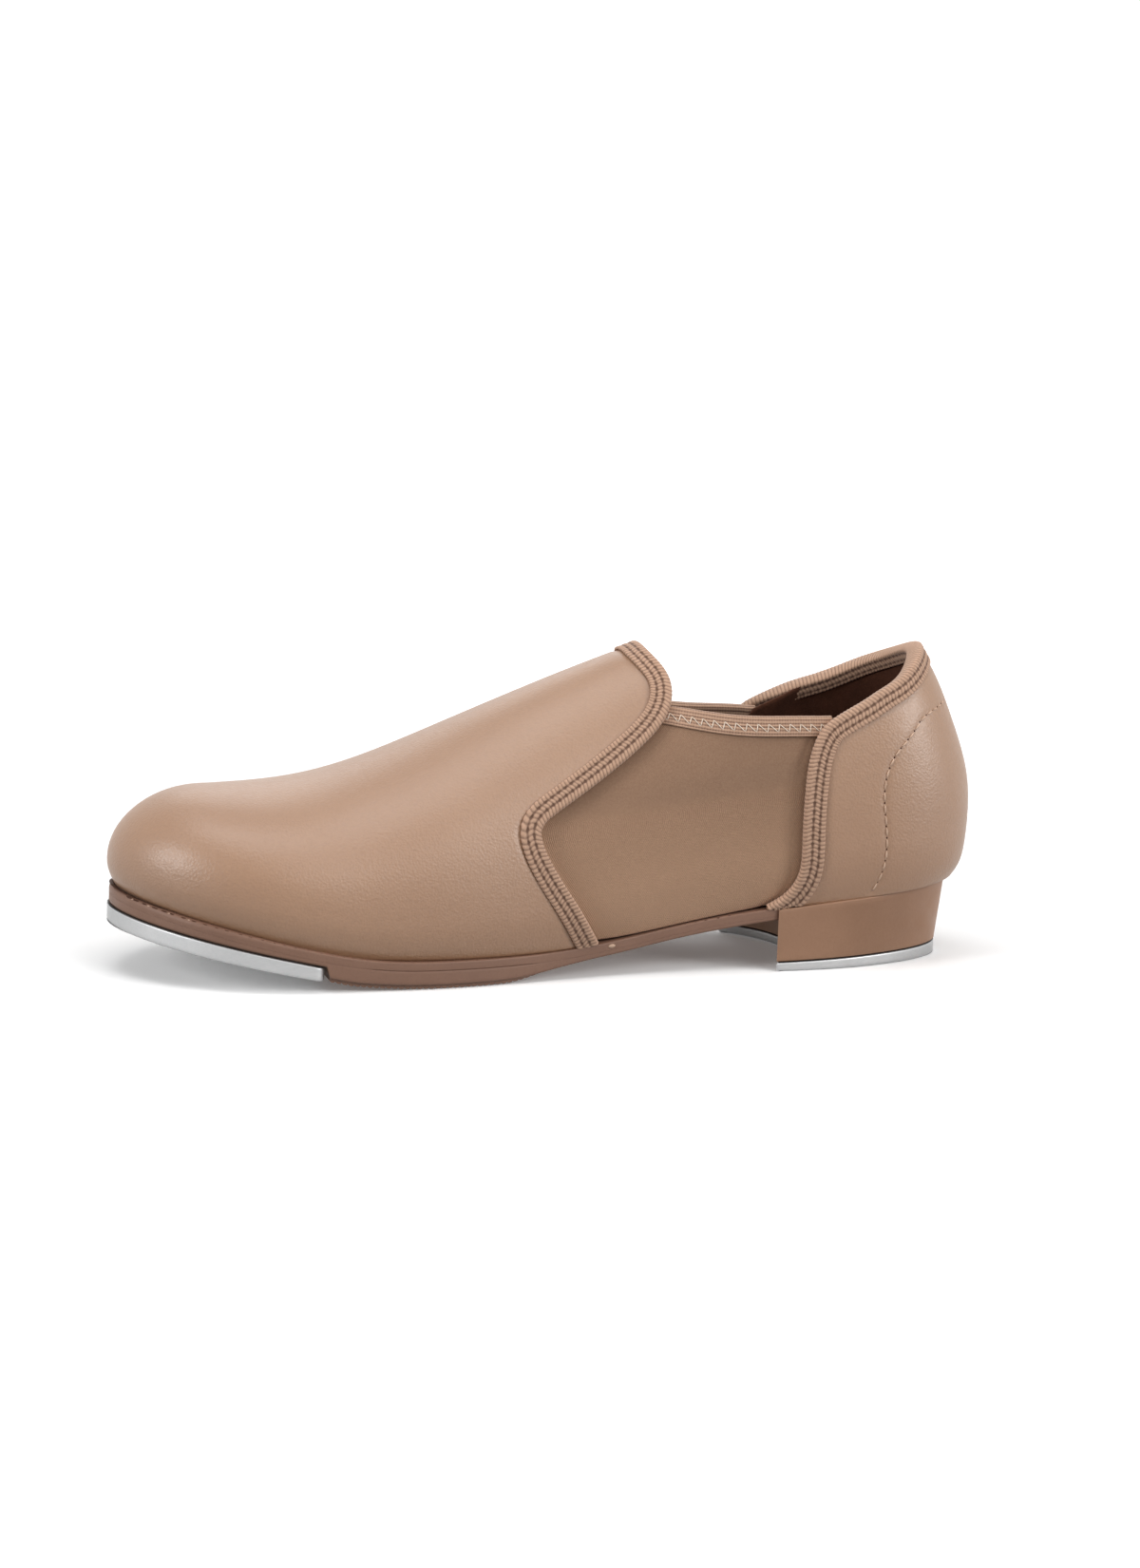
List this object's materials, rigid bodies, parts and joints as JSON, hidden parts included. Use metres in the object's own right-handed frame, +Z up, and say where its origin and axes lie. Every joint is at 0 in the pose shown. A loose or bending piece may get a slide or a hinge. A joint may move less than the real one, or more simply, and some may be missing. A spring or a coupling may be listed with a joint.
{
  "type": "tap shoe",
  "caption": "Slip-on tap dance shoe with leather vamp and quarter, elastic knit side gores, bound edges, low block heel and metal taps under toe and heel.",
  "frame": {"origin": "middle of the bounding box in plan, at the ground", "axes": "+X from toe to heel, +Y from the medial to the lateral side, +Z up; the shoe stands on its heel tap and the tread under the ball"},
  "size_m": [0.2578, 0.0904, 0.0952],
  "materials": {
    "leather": "semi-matte with a fine pebble grain",
    "neoprene": "matte fine vertical rib knit",
    "binding_tape": "matte cross-ribbed woven tape",
    "lining_suede": "matte brushed nap",
    "fibre_board": "matte",
    "sole_composite": "semi-matte",
    "tread_rubber": "matte with fine cross ribs",
    "tap_aluminium": "satin",
    "fixing_steel": "satin",
    "sound_board": "matte",
    "filler_foam": "matte"
  },
  "bodies": {
    "root": {"vamp": "leather", "quarter": "leather", "gore_medial": "neoprene", "gore_lateral": "neoprene", "gore_binding_medial": "binding_tape", "gore_binding_lateral": "binding_tape", "vamp_binding": "binding_tape", "quarter_binding": "binding_tape", "vamp_lining": "lining_suede", "quarter_lining": "lining_suede", "sock_liner": "lining_suede", "toe_puff": "fibre_board", "heel_counter": "fibre_board", "insole_board": "fibre_board", "midsole": "sole_composite", "outsole": "sole_composite", "heel_block": "sole_composite", "tread_pad": "tread_rubber", "toe_tap": "tap_aluminium", "heel_tap": "tap_aluminium", "steel_shank": "fixing_steel", "shank_rivet_1": "fixing_steel", "shank_rivet_2": "fixing_steel", "toe_tap_screw_1": "fixing_steel", "toe_tap_screw_2": "fixing_steel", "toe_tap_screw_3": "fixing_steel", "heel_tap_screw_1": "fixing_steel", "heel_tap_screw_2": "fixing_steel", "heel_tap_screw_3": "fixing_steel", "heel_nail_1": "fixing_steel", "heel_nail_2": "fixing_steel", "heel_nail_3": "fixing_steel", "heel_nail_4": "fixing_steel", "heel_nail_5": "fixing_steel", "toe_tap_sound_board": "sound_board", "heel_tap_sound_board": "sound_board", "bottom_filler": "filler_foam"}
  },
  "joints": []
}
